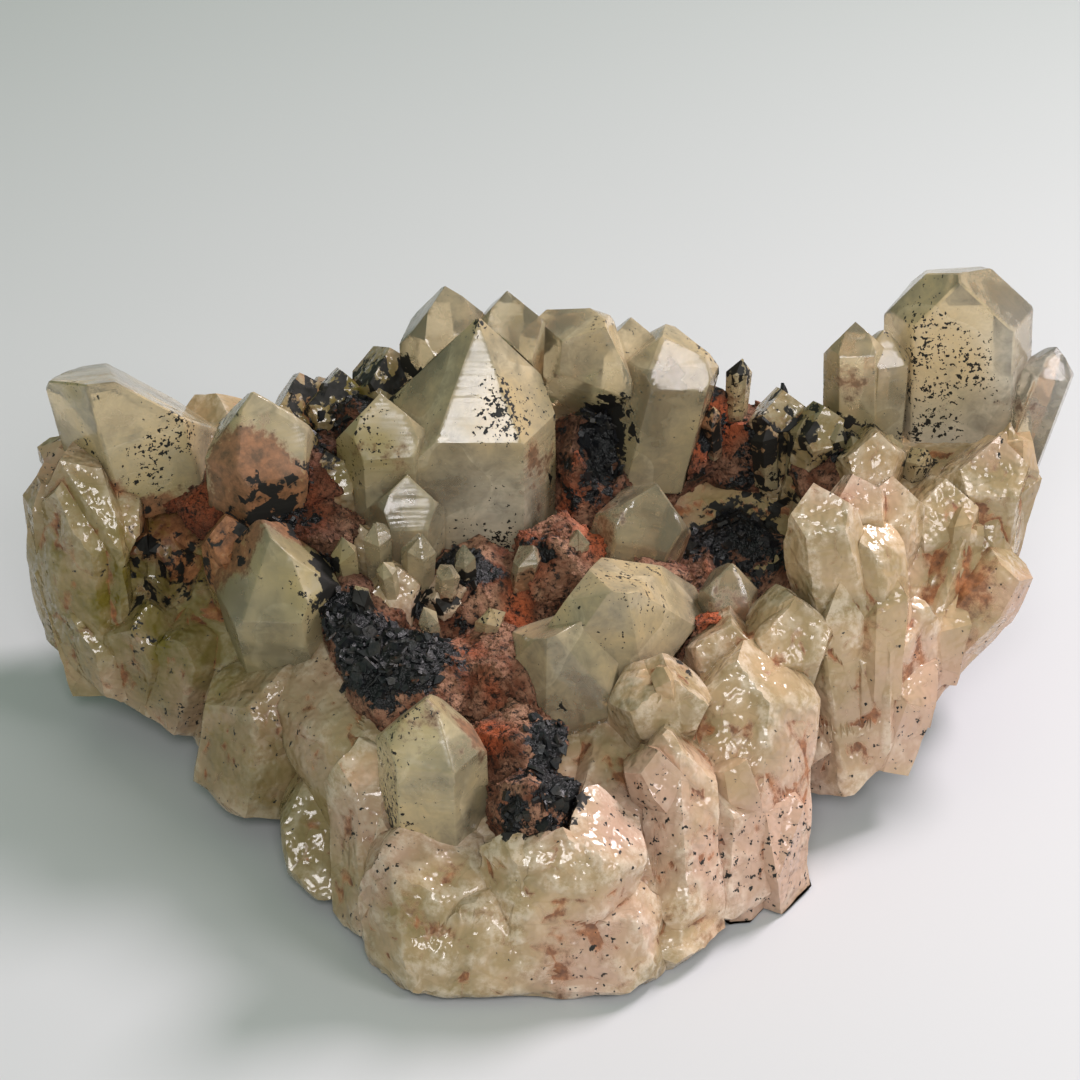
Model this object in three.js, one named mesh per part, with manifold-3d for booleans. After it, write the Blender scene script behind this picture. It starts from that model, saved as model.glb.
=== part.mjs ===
// A citrine quartz cluster: stubby pale points that fan out of one columnar root,
// with red iron-oxide earth and black manganese crust in the hollows between them.
// Millimetres, +Z up, -Y to the front. The origin is on the flat spot that it rests on.
import * as THREE from "three";
import { ConvexGeometry } from "three/addons/geometries/ConvexGeometry.js";
import { mergeVertices } from "three/addons/utils/BufferGeometryUtils.js";
import Module from "manifold-3d";

const wasm = await Module();
wasm.setup();

// Driving dimensions, in millimetres and degrees. Values in radii scale with each crystal.
const gap = 0.3; // between pieces that touch
const capSlope = 51.8; // a quartz tip face's normal, measured from the crystal's axis
const minorCap = 0.28; // how far the three minor tip faces stand out, in radii
const majorCap = 0.12; // how far the three main tip faces may stand out, in radii
const clippedCap = 2; // a tip face this far out, in radii, never cuts the crystal
const sideUnevenness = 0.14; // how far prism faces vary, in radii
const lumpRoughness = 0.22; // how far a lump's corners vary, in radii
const wallRadius = 9; // a middling column of the outside wall
const wallJitter = 2.5; // how far the columns' ends stray
const wallLift = 12; // how far broken column tops may stand above the wall's rim
const wallFlare = 1.03; // how far they may stand outside it, as a share
const backDepth = 3; // how far the back columns may stand behind the wall's feet
const floorDepth = 40; // thickness of the block that cuts the cluster off at its seat
const floorWidth = 400;

const radians = THREE.MathUtils.degToRad;

// A repeatable stream of numbers from 0 to 1.
function stream(seed) {
  let state = (seed * 2654435761) >>> 0;
  return () => {
    state = (Math.imul(state, 1664525) + 1013904223) >>> 0;
    return state / 4294967296;
  };
}

// A closed geometry as a solid that can be joined and cut.
function solidOf(geometry) {
  const bare = geometry.clone();
  for (const name of Object.keys(bare.attributes))
    if (name !== "position") bare.deleteAttribute(name);
  const merged = mergeVertices(bare, 1e-3);
  return new wasm.Manifold(
    new wasm.Mesh({
      numProp: 3,
      vertProperties: merged.attributes.position.array,
      triVerts: new Uint32Array(merged.index.array),
    }),
  );
}

function geometryOf(solid) {
  const mesh = solid.getMesh();
  const places = new Float32Array(mesh.numVert * 3);
  for (let i = 0; i < mesh.numVert; i++)
    places.set(mesh.vertProperties.subarray(i * mesh.numProp, i * mesh.numProp + 3), i * 3);
  const geometry = new THREE.BufferGeometry();
  geometry.setAttribute("position", new THREE.BufferAttribute(places, 3));
  geometry.setIndex(new THREE.BufferAttribute(mesh.triVerts, 1));
  geometry.computeVertexNormals();
  return geometry;
}

const joined = (solids) => solids.reduce((whole, solid) => whole.add(solid));

// The biggest body of a cut solid, without the crumbs that the cuts leave.
function largestBody(solid) {
  return solid.decompose().reduce((best, body) => (body.volume() > best.volume() ? body : best));
}

// The convex block inside a set of planes, each a normal and its distance from the origin.
function insidePlanes(planes) {
  const corners = [];
  const cross = new THREE.Vector3();
  for (let i = 0; i < planes.length; i++)
    for (let j = i + 1; j < planes.length; j++) {
      cross.crossVectors(planes[i].normal, planes[j].normal);
      for (let k = j + 1; k < planes.length; k++) {
        const spread = cross.dot(planes[k].normal);
        if (Math.abs(spread) < 1e-5) continue;
        const point = new THREE.Vector3()
          .crossVectors(planes[j].normal, planes[k].normal)
          .multiplyScalar(planes[i].reach)
          .addScaledVector(
            new THREE.Vector3().crossVectors(planes[k].normal, planes[i].normal),
            planes[j].reach,
          )
          .addScaledVector(cross, planes[k].reach)
          .divideScalar(spread);
        if (planes.every((plane) => plane.normal.dot(point) < plane.reach + 1e-4))
          corners.push(point);
      }
    }
  return new ConvexGeometry(corners);
}

// Which way a crystal points: its lean to the right and to the back, in degrees from straight up.
function axisOf([right, back]) {
  return new THREE.Vector3(Math.tan(radians(right)), Math.tan(radians(back)), 1).normalize();
}

// One quartz point: six prism faces round an axis and six tip faces that meet at the tip.
// sides and caps move single faces out or back, in radii, starting from the face at the front.
// Each chip is a broken face with its own lean, its depth in radii below the tip.
function crystal(spec, grow = 0) {
  const { tip, lean, radius, length, turn = 0, sides = [], caps = [], chips = [], seed = 1 } = spec;
  const vary = stream(seed);
  const along = spec.along ?? axisOf(lean);
  const across = new THREE.Vector3(0, -1, 0).addScaledVector(along, along.y).normalize();
  const beside = new THREE.Vector3().crossVectors(across, along).negate();
  const planes = [{ normal: along.clone().negate(), reach: length }];
  for (let face = 0; face < 6; face++) {
    const angle = radians(face * 60 + turn);
    const out = across.clone().multiplyScalar(Math.cos(angle)).addScaledVector(beside, Math.sin(angle));
    const slope = out
      .clone()
      .multiplyScalar(Math.sin(radians(capSlope)))
      .addScaledVector(along, Math.cos(radians(capSlope)));
    const side = sides[face] ?? 1 + sideUnevenness * (2 * vary() - 1);
    const cap = caps[face] ?? (face % 2 ? minorCap * (0.4 + vary()) : majorCap * vary());
    planes.push({ normal: out, reach: radius * side + grow });
    planes.push({ normal: slope, reach: radius * cap + grow });
  }
  for (const chip of chips)
    planes.push({ normal: axisOf(chip.lean), reach: grow - radius * chip.depth });
  return solidOf(insidePlanes(planes).translate(...tip));
}

// A broken chunk of massive quartz: the convex block round a few corners.
function chunk(corners, grow = 0) {
  const block = new ConvexGeometry(corners.map((corner) => new THREE.Vector3(...corner)));
  if (grow === 0) return solidOf(block);
  const places = block.attributes.position;
  const planes = [];
  for (let i = 0; i < places.count; i += 3) {
    const [p, q, r] = [0, 1, 2].map((k) => new THREE.Vector3().fromBufferAttribute(places, i + k));
    const face = new THREE.Plane().setFromCoplanarPoints(p, q, r);
    const known = planes.some((plane) => plane.normal.dot(face.normal) > 0.99999);
    if (!known) planes.push({ normal: face.normal, reach: grow - face.constant });
  }
  return solidOf(insidePlanes(planes));
}

// A rough rounded lump: an icosahedron with its corners pushed in and out.
function lump({ at, size, seed = 1, detail = 1 }) {
  const vary = stream(seed);
  const ball = mergeVertices(
    new THREE.IcosahedronGeometry(1, detail).deleteAttribute("normal").deleteAttribute("uv"),
    1e-4,
  );
  const places = ball.attributes.position;
  for (let i = 0; i < places.count; i++) {
    const swell = 1 + lumpRoughness * (2 * vary() - 1);
    places.setXYZ(
      i,
      at[0] + places.getX(i) * size[0] * swell,
      at[1] + places.getY(i) * size[1] * swell,
      at[2] + places.getZ(i) * size[2] * swell,
    );
  }
  return solidOf(ball);
}

// The tall middle point, with two smaller ones grown against its left side.
function centrePoints() {
  return [
    {
      tip: [-14, 38, 88], lean: [0, 0], radius: 14.5, length: 60, turn: 0,
      sides: [1, 1.02, 0.75, 1, 1.15, 1.3], caps: [0, 0, 0.05, 0.05, 0.05, 0],
    },
    { tip: [-33, 31, 76], lean: [-2, 2], radius: 9, length: 40, turn: 4, seed: 5 },
    { tip: [-28, 20, 64], lean: [2, -4], radius: 7, length: 34, turn: 4, seed: 8 },
  ];
}

// The row behind the middle point, from left to right. The third one leans out over the hollow.
function backPoints() {
  return [
    { tip: [-21, 52, 87], lean: [-2, 4], radius: 7.5, length: 40, turn: 20, seed: 31 },
    { tip: [-8, 50, 87], lean: [0, 2], radius: 7.5, length: 36, turn: 8, seed: 32 },
    {
      tip: [10, 42, 83], lean: [25, -37], radius: 10.8, length: 30, turn: 2,
      sides: [0.65, 1.2, 0.6, 0.6, 1, 0.65], caps: [0, 0.44, 0.1, 0.2, 0.1, 0.4],
    },
    { tip: [16, 54, 79], lean: [4, 6], radius: 6, length: 30, turn: 12, seed: 34 },
    {
      tip: [26, 50, 80], lean: [12, 4], radius: 9.5, length: 34, turn: 14, seed: 35,
      chips: [{ lean: [30, 10], depth: 0.35 }],
    },
  ];
}

// The broad point at the left end: its tip is broken off in two slanting faces.
function leftPoint() {
  return [
    {
      tip: [-87, 46, 90], lean: [-10, 0], radius: 14, length: 44, turn: 13,
      sides: [1, 1, 1, 1, 1, 1], caps: [0.3, 0, 0.3, 0, 0, 0.3],
      chips: [{ lean: [-6, 25], depth: 1.2 }, { lean: [34, 31], depth: 0.98 }],
    },
  ];
}

// The steep reddish point between the left end and the middle.
function ridgePoint() {
  return [{ tip: [-57, 30, 76], lean: [-2, 3], radius: 10.5, length: 50, turn: 22, seed: 12 }];
}

// The pale greyish point in front of it.
function leftFrontPoint() {
  return [
    {
      tip: [-54, 7, 60], lean: [-7, -11], radius: 11.5, length: 46, turn: -10,
      sides: [1, 1, 0.85, 1.1, 1, 1], caps: [0.1, 0.25, 0, 0.2, 0.25, 0],
    },
  ];
}

// The broad upright point at the right end, with one large front face.
function rightPoint() {
  return [
    {
      tip: [81, 62, 91], lean: [-2, 0], radius: 13, length: 52, turn: 2,
      sides: [0.67, 1, 1, 1, 1, 1], caps: [1.5, 0.05, 0.05, 0, 0.05, 0.15],
      chips: [{ lean: [-4, 28], depth: 0.41 }],
    },
  ];
}

// Two slim points at its left.
function smallRightPoints() {
  return [
    { tip: [60, 52, 79], lean: [-2, 4], radius: 5, length: 30, turn: 0, seed: 41 },
    { tip: [66, 53, 76], lean: [2, 4], radius: 5, length: 28, turn: 20, seed: 42 },
  ];
}

// The slim clear point at the far right.
function farRightPoint() {
  return [{ tip: [101, 57, 70], lean: [15, 4], radius: 4.6, length: 34, turn: 8, seed: 43 }];
}

// The lone point that stands up at the front.
function frontPoint() {
  return [
    {
      tip: [-23, -35, 52], lean: [-1, -5], radius: 9, length: 42, turn: -8,
      sides: [1.1, 1.15, 1, 0.6, 0.9, 0.95], caps: [0.25, 0.3, 0.05, 0.15, 0, 0.35],
    },
  ];
}

// The broad low point that leans to the front in the middle, and a lower one at its left.
function middlePoint() {
  return [
    {
      tip: [15, -9, 55.5], lean: [10, -36], radius: 12.7, length: 42, turn: 120,
      sides: [1.5, 0.95, 0.8, 1.6, 1.3, 0.95], caps: [0.15, 0.15, 0.35, 0.35, 0.1, 0.05],
    },
    {
      tip: [0, -15, 50], lean: [-14, -30], radius: 11.5, length: 34, turn: 8,
      sides: [1, 0.9, 1, 1, 1, 1], caps: [0, 0.1, 0.35, 0.1, 0.2, 0.05],
    },
  ];
}

// The dark point at the mouth of the hollow.
function hollowPoint() {
  return [{ tip: [21, 22, 60], lean: [14, -6], radius: 8, length: 30, turn: 0, seed: 51 }];
}

// The small bluish point at its right.
function smallHollowPoint() {
  return [{ tip: [35, 10, 50], lean: [6, 0], radius: 5.5, length: 22, turn: 10, seed: 52 }];
}

// Smaller points that grow straight out of the root, from left to right.
function rootPoints() {
  const places = [
    { tip: [-63, 16, 57], lean: [-6, -6], radius: 4.5, length: 24, turn: 10 },
    { tip: [-62, 46, 61], lean: [10, 0], radius: 7, length: 30, turn: 0 },
    { tip: [-50, 48, 69], lean: [-6, 0], radius: 7, length: 30, turn: 20 },
    { tip: [-42, 46, 71], lean: [0, -4], radius: 6.5, length: 30, turn: 8 },
    { tip: [-32, 48, 75], lean: [4, -4], radius: 7, length: 34, turn: 30 },
    { tip: [-44, 28, 64], lean: [-4, -6], radius: 6, length: 26, turn: 14 },
    { tip: [-38, 18, 54], lean: [-6, -8], radius: 4.5, length: 22, turn: 0 },
    { tip: [-30, 8, 50], lean: [2, -6], radius: 4.5, length: 22, turn: 10 },
    { tip: [-20, 8, 48], lean: [4, -10], radius: 4, length: 20, turn: 25 },
    { tip: [22, -22, 46], lean: [8, -30], radius: 7, length: 28, turn: 12 },
    { tip: [34, -4, 46], lean: [6, -14], radius: 7, length: 34, turn: 0 },
    { tip: [46, 0, 48], lean: [10, -8], radius: 7.5, length: 36, turn: 18 },
    { tip: [50, 14, 66], lean: [-13, 8], radius: 6.5, length: 48, turn: 4 },
    { tip: [58, 20, 64], lean: [-6, 2], radius: 5.5, length: 44, turn: 20 },
    { tip: [66, 24, 61], lean: [3, 4], radius: 6, length: 42, turn: 0 },
    { tip: [77, 30, 56], lean: [5, 2], radius: 7.5, length: 38, turn: 12 },
    { tip: [88, 38, 61], lean: [8, 4], radius: 7.5, length: 34, turn: 6 },
    { tip: [46, 50, 64], lean: [0, -6], radius: 5, length: 24, turn: 10 },
    { tip: [54, 44, 64], lean: [6, -12], radius: 5, length: 24, turn: 24 },
    { tip: [64, 38, 62], lean: [4, -14], radius: 6, length: 26, turn: 4 },
  ];
  const caps = [0, clippedCap, 0.1, clippedCap, 0, clippedCap];
  return places.map((spec, i) => ({ ...spec, caps, seed: 80 + i }));
}

// The outside wall, station by station round the cluster from the front: its foot and its rim.
const wall = [
  [[-6, -57, 0], [-2, -46, 30]],
  [[-25, -59, 3], [-30, -44, 24]],
  [[-46, -30, 6], [-42, -14, 34]],
  [[-67, 8, 10], [-62, 10, 34]],
  [[-85, 23, 11], [-78, 18, 32]],
  [[-101, 30, 18], [-98, 32, 54]],
  [[-96, 56, 32], [-97, 54, 54]],
  [[-72, 62, 24], [-68, 62, 54]],
  [[-45, 60, 14], [-45, 60, 60]],
  [[-15, 62, 8], [-18, 60, 70]],
  [[15, 62, 8], [18, 60, 64]],
  [[42, 64, 12], [44, 62, 48]],
  [[70, 72, 24], [66, 70, 52]],
  [[97, 72, 38], [96, 71, 52]],
  [[95, 40, 42], [96, 46, 54]],
  [[86, 21, 27], [84, 32, 50]],
  [[77, 12, 18], [72, 26, 52]],
  [[63, -2, 12], [54, 14, 54]],
  [[42, -33, 5], [42, -4, 40]],
  [[14, -59, 3], [18, -38, 32]],
];

// A place on the wall: how far round in stations, and how high from its foot to its rim.
function onWall(round, height) {
  const from = wall[Math.floor(round) % wall.length];
  const to = wall[Math.ceil(round) % wall.length];
  const mix = round - Math.floor(round);
  const foot = new THREE.Vector3(...from[0]).lerp(new THREE.Vector3(...to[0]), mix);
  const rim = new THREE.Vector3(...from[1]).lerp(new THREE.Vector3(...to[1]), mix);
  return { foot, point: foot.clone().lerp(rim, height) };
}

// The level way from a place on the wall towards the middle of the cluster.
function inwardFrom(place) {
  return new THREE.Vector3(-place.x, 6 - place.y, 0).normalize();
}

// One row of broken columns round the wall, their tops near one height of it.
function wallColumns({ count, height, inward, seed }) {
  const vary = stream(seed);
  const swing = (amount) => amount * (2 * vary() - 1);
  const caps = [0, clippedCap, 0, clippedCap, 0, clippedCap];
  const columns = [];
  for (let i = 0; i < count; i++) {
    const { foot, point } = onWall(((i + 0.7 * vary()) / count) * wall.length, height);
    const radius = wallRadius * (0.6 + 0.8 * vary());
    const towards = inwardFrom(point);
    const tip = point.clone().addScaledVector(towards, inward + radius / 2);
    tip.add(new THREE.Vector3(swing(wallJitter), swing(wallJitter), swing(wallJitter) + radius * 0.4));
    const base = foot.clone().addScaledVector(towards, inward + radius * 0.6);
    base.add(new THREE.Vector3(swing(wallJitter) * 1.6, swing(wallJitter), -4));
    const along = tip.clone().sub(base);
    const length = along.length();
    along.normalize();
    const turn = 60 * vary();
    const chips = [{ lean: [swing(55), swing(55)], depth: 0.1 + 0.5 * vary() }];
    const shape = { radius, length, turn, caps, chips, seed: seed * 100 + i };
    columns.push(crystal({ tip: tip.toArray(), along, ...shape }));
  }
  return columns;
}

// The block that the broken outside is trimmed to: it flares from the seat out to the wall.
function wallEnvelope() {
  const seat = [[-30, -50], [10, -54], [38, -24], [42, 16], [26, 46], [-34, 46], [-44, -6]];
  const corners = seat.map(([x, y]) => [x, y, 0]);
  for (const [foot, rim] of wall) {
    const backward = foot[1] > 50 ? backDepth : 0;
    corners.push([foot[0], foot[1] + backward, foot[2]]);
    corners.push([rim[0] * wallFlare, rim[1] * wallFlare + backward, rim[2] + wallLift]);
  }
  corners.push([-104, 32, 36]);
  return chunk(corners);
}

// The middle of the root, over the seat.
const middleChunk = [
  [-28, -46, 0], [8, -50, 0], [34, -26, 0], [38, 14, 0], [24, 42, 0], [-32, 42, 0], [-40, -5, 0],
  [-24, -52, 8], [12, -52, 8], [-56, -2, 28], [-34, -28, 30], [6, -38, 26], [38, -18, 26],
  [52, 10, 32], [44, 58, 14], [-44, 56, 16], [56, 60, 44], [-10, 60, 50], [-60, 58, 50],
];
const leftArmChunk = [
  [-40, 4, 8], [-92, 28, 20], [-92, 34, 36], [-92, 54, 48], [-50, 58, 54],
  [-56, 8, 30], [-78, 14, 20], [-44, 56, 16], [-90, 56, 36],
];
const rightArmChunk = [
  [40, -10, 10], [60, -4, 20], [78, 14, 26], [90, 30, 42], [96, 73, 51], [99, 54, 47], [66, 74, 50],
  [60, 66, 52], [44, 58, 14], [92, 72, 42], [68, 72, 30], [50, 10, 42], [72, 22, 46],
];
// The smooth block under the left end.
const leftEndChunk = [
  [-96, 30, 61], [-103, 31, 44], [-103, 31, 26], [-99, 29, 18], [-91, 24, 12], [-84, 20, 12],
  [-84, 18, 30], [-84, 20, 46], [-88, 30, 59], [-92, 50, 58], [-98, 48, 46], [-90, 50, 32], [-80, 46, 30],
];

// The earth between the left points: the basin in the root that it fills, and its lumps.
function leftEarth() {
  return {
    basin: [
      [-86, 42, 48], [-62, 16, 46], [-40, 12, 46], [-32, 30, 50], [-32, 54, 54], [-62, 56, 50],
      [-92, 44, 90], [-62, 8, 90], [-36, 6, 90], [-26, 30, 90], [-26, 60, 90], [-62, 62, 90],
    ],
    lumps: [
      { at: [-64, 26, 48], size: [11, 13, 10], detail: 0 },
      { at: [-50, 34, 52], size: [14, 14, 13] },
      { at: [-38, 46, 56], size: [12, 12, 13], detail: 0 },
      { at: [-44, 16, 48], size: [13, 14, 11], detail: 0 },
      { at: [-72, 42, 46], size: [16, 13, 12], detail: 0 },
    ],
  };
}

// The black and red bed in the middle, down to the front.
function frontEarth() {
  return {
    basin: [
      [-46, 10, 38], [-38, -14, 34], [-10, -46, 22], [3, -46, 22], [12, -10, 34], [10, 24, 38],
      [-20, 26, 38], [-54, 12, 90], [-42, -18, 90], [-12, -66, 90], [6, -66, 90], [18, -10, 90],
      [14, 28, 90], [-20, 32, 90],
    ],
    lumps: [
      { at: [-38, 2, 39], size: [14, 14, 12], detail: 0 },
      { at: [-28, -10, 36], size: [16, 13, 11], detail: 0 },
      { at: [-10, -6, 34], size: [16, 16, 11], detail: 0 },
      { at: [-14, 14, 38], size: [19, 15, 13], detail: 0 },
      { at: [3, 18, 44], size: [11, 12, 12], detail: 0 },
      { at: [-7, -26, 31], size: [10, 15, 12], detail: 0 },
      { at: [-4, -39, 28], size: [9, 11, 12], detail: 0 },
    ],
  };
}

// The earth that lines the deep hollow and rises behind it.
function rightEarth() {
  return {
    basin: [
      [2, 34, 38], [4, 58, 44], [66, 56, 44], [68, 34, 36], [52, 4, 24], [18, 2, 24],
      [-2, 36, 90], [-2, 64, 90], [74, 64, 90], [74, 34, 90], [54, -6, 90], [16, -6, 90],
    ],
    lumps: [
      { at: [6, 40, 48], size: [11, 15, 15] },
      { at: [20, 54, 50], size: [17, 13, 17], detail: 0 },
      { at: [42, 56, 44], size: [18, 12, 14], detail: 0 },
      { at: [58, 46, 46], size: [13, 14, 15], detail: 0 },
      { at: [38, 28, 28], size: [30, 30, 14] },
      { at: [32, 0, 36], size: [19, 9, 10], detail: 0 },
      { at: [18, 14, 38], size: [10, 14, 13], detail: 0 },
      { at: [58, 22, 38], size: [9, 16, 15], detail: 0 },
    ],
  };
}

// The deep hollow right of the middle with its two side pockets, and the recess at the left end.
function hollows() {
  return joined([
    lump({ at: [38, 26, 56], size: [14, 19, 24], seed: 21 }),
    lump({ at: [25, 37, 60], size: [11, 8, 10], seed: 24, detail: 0 }),
    lump({ at: [12, 33, 62], size: [10, 8, 9], seed: 22, detail: 0 }),
    lump({ at: [-76, 22, 42], size: [9, 12, 9], seed: 23 }),
  ]);
}

function clearQuartz() {
  return new THREE.MeshStandardMaterial({ color: 0xd9c9ac, roughness: 0.2, metalness: 0 });
}

function massiveQuartz() {
  return new THREE.MeshStandardMaterial({ color: 0xcfb496, roughness: 0.45, metalness: 0 });
}

function redEarth() {
  return new THREE.MeshStandardMaterial({ color: 0x8a4630, roughness: 0.9, metalness: 0 });
}

const cluster = new THREE.Group();

function place(name, solid, look) {
  const mesh = new THREE.Mesh(geometryOf(solid), look);
  mesh.name = name;
  cluster.add(mesh);
}

// The free-standing points: each group has grown together into one piece, and leaves its socket
// in everything that is made after it.
const pointGroups = {
  centre_points: centrePoints(),
  back_points: backPoints(),
  left_point: leftPoint(),
  ridge_point: ridgePoint(),
  left_front_point: leftFrontPoint(),
  right_point: rightPoint(),
  small_right_points: smallRightPoints(),
  far_right_point: farRightPoint(),
  front_point: frontPoint(),
  middle_point: middlePoint(),
  hollow_point: hollowPoint(),
  small_hollow_point: smallHollowPoint(),
};
const sockets = [];
for (const [name, specs] of Object.entries(pointGroups)) {
  let solid = joined(specs.map((spec) => crystal(spec)));
  for (const socket of sockets) solid = solid.subtract(socket);
  sockets.push(joined(specs.map((spec) => crystal(spec, gap))));
  place(name, solid, clearQuartz());
}

// The root: broken chunks and columns, less the earth's basins, the hollows and the sockets.
function quartzRoot(cuts, basins) {
  const floor = new THREE.BoxGeometry(floorWidth, floorWidth, floorDepth);
  floor.translate(0, 0, -floorDepth / 2);
  return joined([
    ...[middleChunk, leftArmChunk, rightArmChunk, leftEndChunk].map((corners) => chunk(corners)),
    ...wallColumns({ count: 26, height: 1, inward: 0, seed: 2 }),
    ...wallColumns({ count: 14, height: 0.55, inward: -1, seed: 3 }),
  ])
    .intersect(wallEnvelope())
    .subtract(joined(basins))
    .add(joined(rootPoints().map((spec) => crystal(spec))))
    .subtract(joined(cuts))
    .subtract(solidOf(floor));
}

// One bed of earth: its lumps, kept inside its basin and clear of the crystals.
function earthBed({ basin, lumps }, cuts) {
  const body = joined(lumps.map((spec, i) => lump({ ...spec, seed: 60 + i })));
  return body.intersect(chunk(basin, -gap)).subtract(joined(cuts));
}

const beds = { left_earth: leftEarth(), front_earth: frontEarth(), right_earth: rightEarth() };
const basins = Object.values(beds).map(({ basin }) => chunk(basin));
const cuts = [...sockets, hollows()];
place("quartz_root", largestBody(quartzRoot(cuts, basins)), massiveQuartz());

cuts.push(...rootPoints().map((spec) => crystal(spec, gap)));
for (const [name, bed] of Object.entries(beds)) {
  place(name, largestBody(earthBed(bed, cuts)), redEarth());
  cuts.push(chunk(bed.basin));
}

export default cluster;
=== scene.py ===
import math

import bmesh
import bpy
import numpy as np
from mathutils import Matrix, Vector


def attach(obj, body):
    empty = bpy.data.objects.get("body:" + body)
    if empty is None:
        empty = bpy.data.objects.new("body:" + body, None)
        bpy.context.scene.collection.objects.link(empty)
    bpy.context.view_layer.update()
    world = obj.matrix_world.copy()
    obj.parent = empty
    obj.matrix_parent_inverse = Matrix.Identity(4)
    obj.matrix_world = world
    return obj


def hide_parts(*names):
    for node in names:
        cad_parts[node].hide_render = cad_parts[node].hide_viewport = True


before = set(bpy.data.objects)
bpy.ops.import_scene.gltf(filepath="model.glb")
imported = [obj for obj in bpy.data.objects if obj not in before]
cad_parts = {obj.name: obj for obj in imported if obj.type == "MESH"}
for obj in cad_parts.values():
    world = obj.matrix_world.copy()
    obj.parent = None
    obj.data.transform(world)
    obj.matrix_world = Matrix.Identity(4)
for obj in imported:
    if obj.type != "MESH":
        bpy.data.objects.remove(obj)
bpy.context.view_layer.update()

# A citrine cluster: pale smoky quartz points on a columnar root, with red earth and black crust.
# The frame's solids give every main form. This script gives them broken faces, stains, painted shade and
# grain.
mm = 0.001
print("frame loaded:", len(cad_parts), "solids")


# Repeatable random number for each lattice cell: the fraction of a large sine of its position.
def latticeNumber(cell, seed):
    turns = cell @ np.array([127.1, 311.7, 74.7]) + seed * 53.13
    return np.abs(np.sin(turns) * 43758.5453) % 1.0


# Soft noise from -1 to 1: lattice numbers, blended between a cell's 8 corners by t*t*(3-2t).
def softNoise(places, size, seed=0):
    q = places / size
    cell = np.floor(q)
    t = q - cell
    t = t * t * (3 - 2 * t)
    total = np.zeros(len(q))
    for corner in np.ndindex(2, 2, 2):
        share = np.prod(np.where(np.array(corner) == 1, t, 1 - t), axis=1)
        total += share * latticeNumber(cell + corner, seed)
    return total * 2 - 1


# Rough noise: soft noise at a size, half of it at half the size, and so on.
def roughNoise(places, size, seed=0, layers=4):
    total = np.zeros(len(places))
    for layer in range(layers):
        total += softNoise(places, size / 2**layer, seed + layer) / 2**layer
    return total / 2


# Broken facets: the highest of the planes level + (p - c) . slope - k * (p - c)^2 of the jittered
# lattice points c round a place p, so flat cells meet in creases. Crease gives how near one is.
def brokenFacets(places, size, seed=0, tilt=0.5, dome=0.5):
    q = places / size
    home = np.floor(q)
    best = np.full(len(q), -9.0)
    second = np.full(len(q), -9.0)
    for step in np.ndindex(3, 3, 3):
        cell = home + np.array(step) - 1
        jitter = np.stack([latticeNumber(cell, seed + k) for k in range(3)], axis=1)
        offset = q - cell - jitter
        slope = np.stack([latticeNumber(cell, seed + 3 + k) - 0.5 for k in range(3)], axis=1)
        height = 2 * tilt * np.sum(offset * slope, axis=1) - dome * np.sum(offset**2, axis=1)
        second = np.maximum(second, np.minimum(best, height))
        best = np.maximum(best, height)
    return best, np.clip(1 - (best - second) / 0.06, 0, 1)


# The edges of a mesh as pairs of corners, and the number of each triangle's three edges.
def edgesOf(faces, count):
    sides = np.sort(faces[:, [[0, 1], [1, 2], [2, 0]]], axis=2).reshape(-1, 2)
    keys, which = np.unique(sides[:, 0] * count + sides[:, 1], return_inverse=True)
    return np.stack([keys // count, keys % count], axis=1), which


# Halves every edge longer than the limit, and cuts each triangle again round its halved edges.
def splitLongEdges(points, faces, longest):
    while True:
        edges, which = edgesOf(faces, len(points))
        ends = points[edges]
        tooLong = np.linalg.norm(ends[:, 0] - ends[:, 1], axis=1) > longest
        if not tooLong.any():
            return points, faces
        middle = np.full(len(edges), -1)
        middle[tooLong] = len(points) + np.arange(tooLong.sum())
        points = np.concatenate([points, ends[tooLong].mean(axis=1)])
        halved = middle[which.reshape(-1)].reshape(-1, 3)
        count = (halved >= 0).sum(axis=1)
        made = [faces[count == 0]]
        # one halved edge: turned so that it is the first, then two triangles
        f, m = turnedSoThat(faces, halved, count == 1, lambda m: m[:, 0] >= 0)
        made += [np.stack([f[:, 0], m[:, 0], f[:, 2]], 1), np.stack([m[:, 0], f[:, 1], f[:, 2]], 1)]
        # two halved edges: turned so that the whole one is the last, then three triangles
        f, m = turnedSoThat(faces, halved, count == 2, lambda m: m[:, 2] < 0)
        made += [np.stack([m[:, 0], f[:, 1], m[:, 1]], 1), np.stack([f[:, 0], m[:, 0], m[:, 1]], 1)]
        made += [np.stack([f[:, 0], m[:, 1], f[:, 2]], 1)]
        # three halved edges: a triangle at each corner, and one in the middle
        f, m = faces[count == 3], halved[count == 3]
        made += [np.stack([f[:, k], m[:, k], m[:, k - 1]], 1) for k in range(3)] + [m]
        faces = np.concatenate(made)


# The chosen triangles and their edge middles, each turned round until the test holds.
def turnedSoThat(faces, halved, chosen, test):
    f, m = faces[chosen].copy(), halved[chosen].copy()
    for _ in range(2):
        wrong = ~test(m)
        f[wrong] = np.roll(f[wrong], -1, axis=1)
        m[wrong] = np.roll(m[wrong], -1, axis=1)
    return f, m


def unit(vectors):
    return vectors / np.maximum(np.linalg.norm(vectors, axis=-1, keepdims=True), 1e-12)


# Each corner's outward direction: the sum of its triangles' normals, weighted by their areas.
def cornerNormals(points, faces):
    a, b, c = (points[faces[:, k]] for k in range(3))
    normals = np.cross(b - a, c - a)
    total = np.zeros_like(points)
    for k in range(3):
        np.add.at(total, faces[:, k], normals)
    return unit(total)


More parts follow.
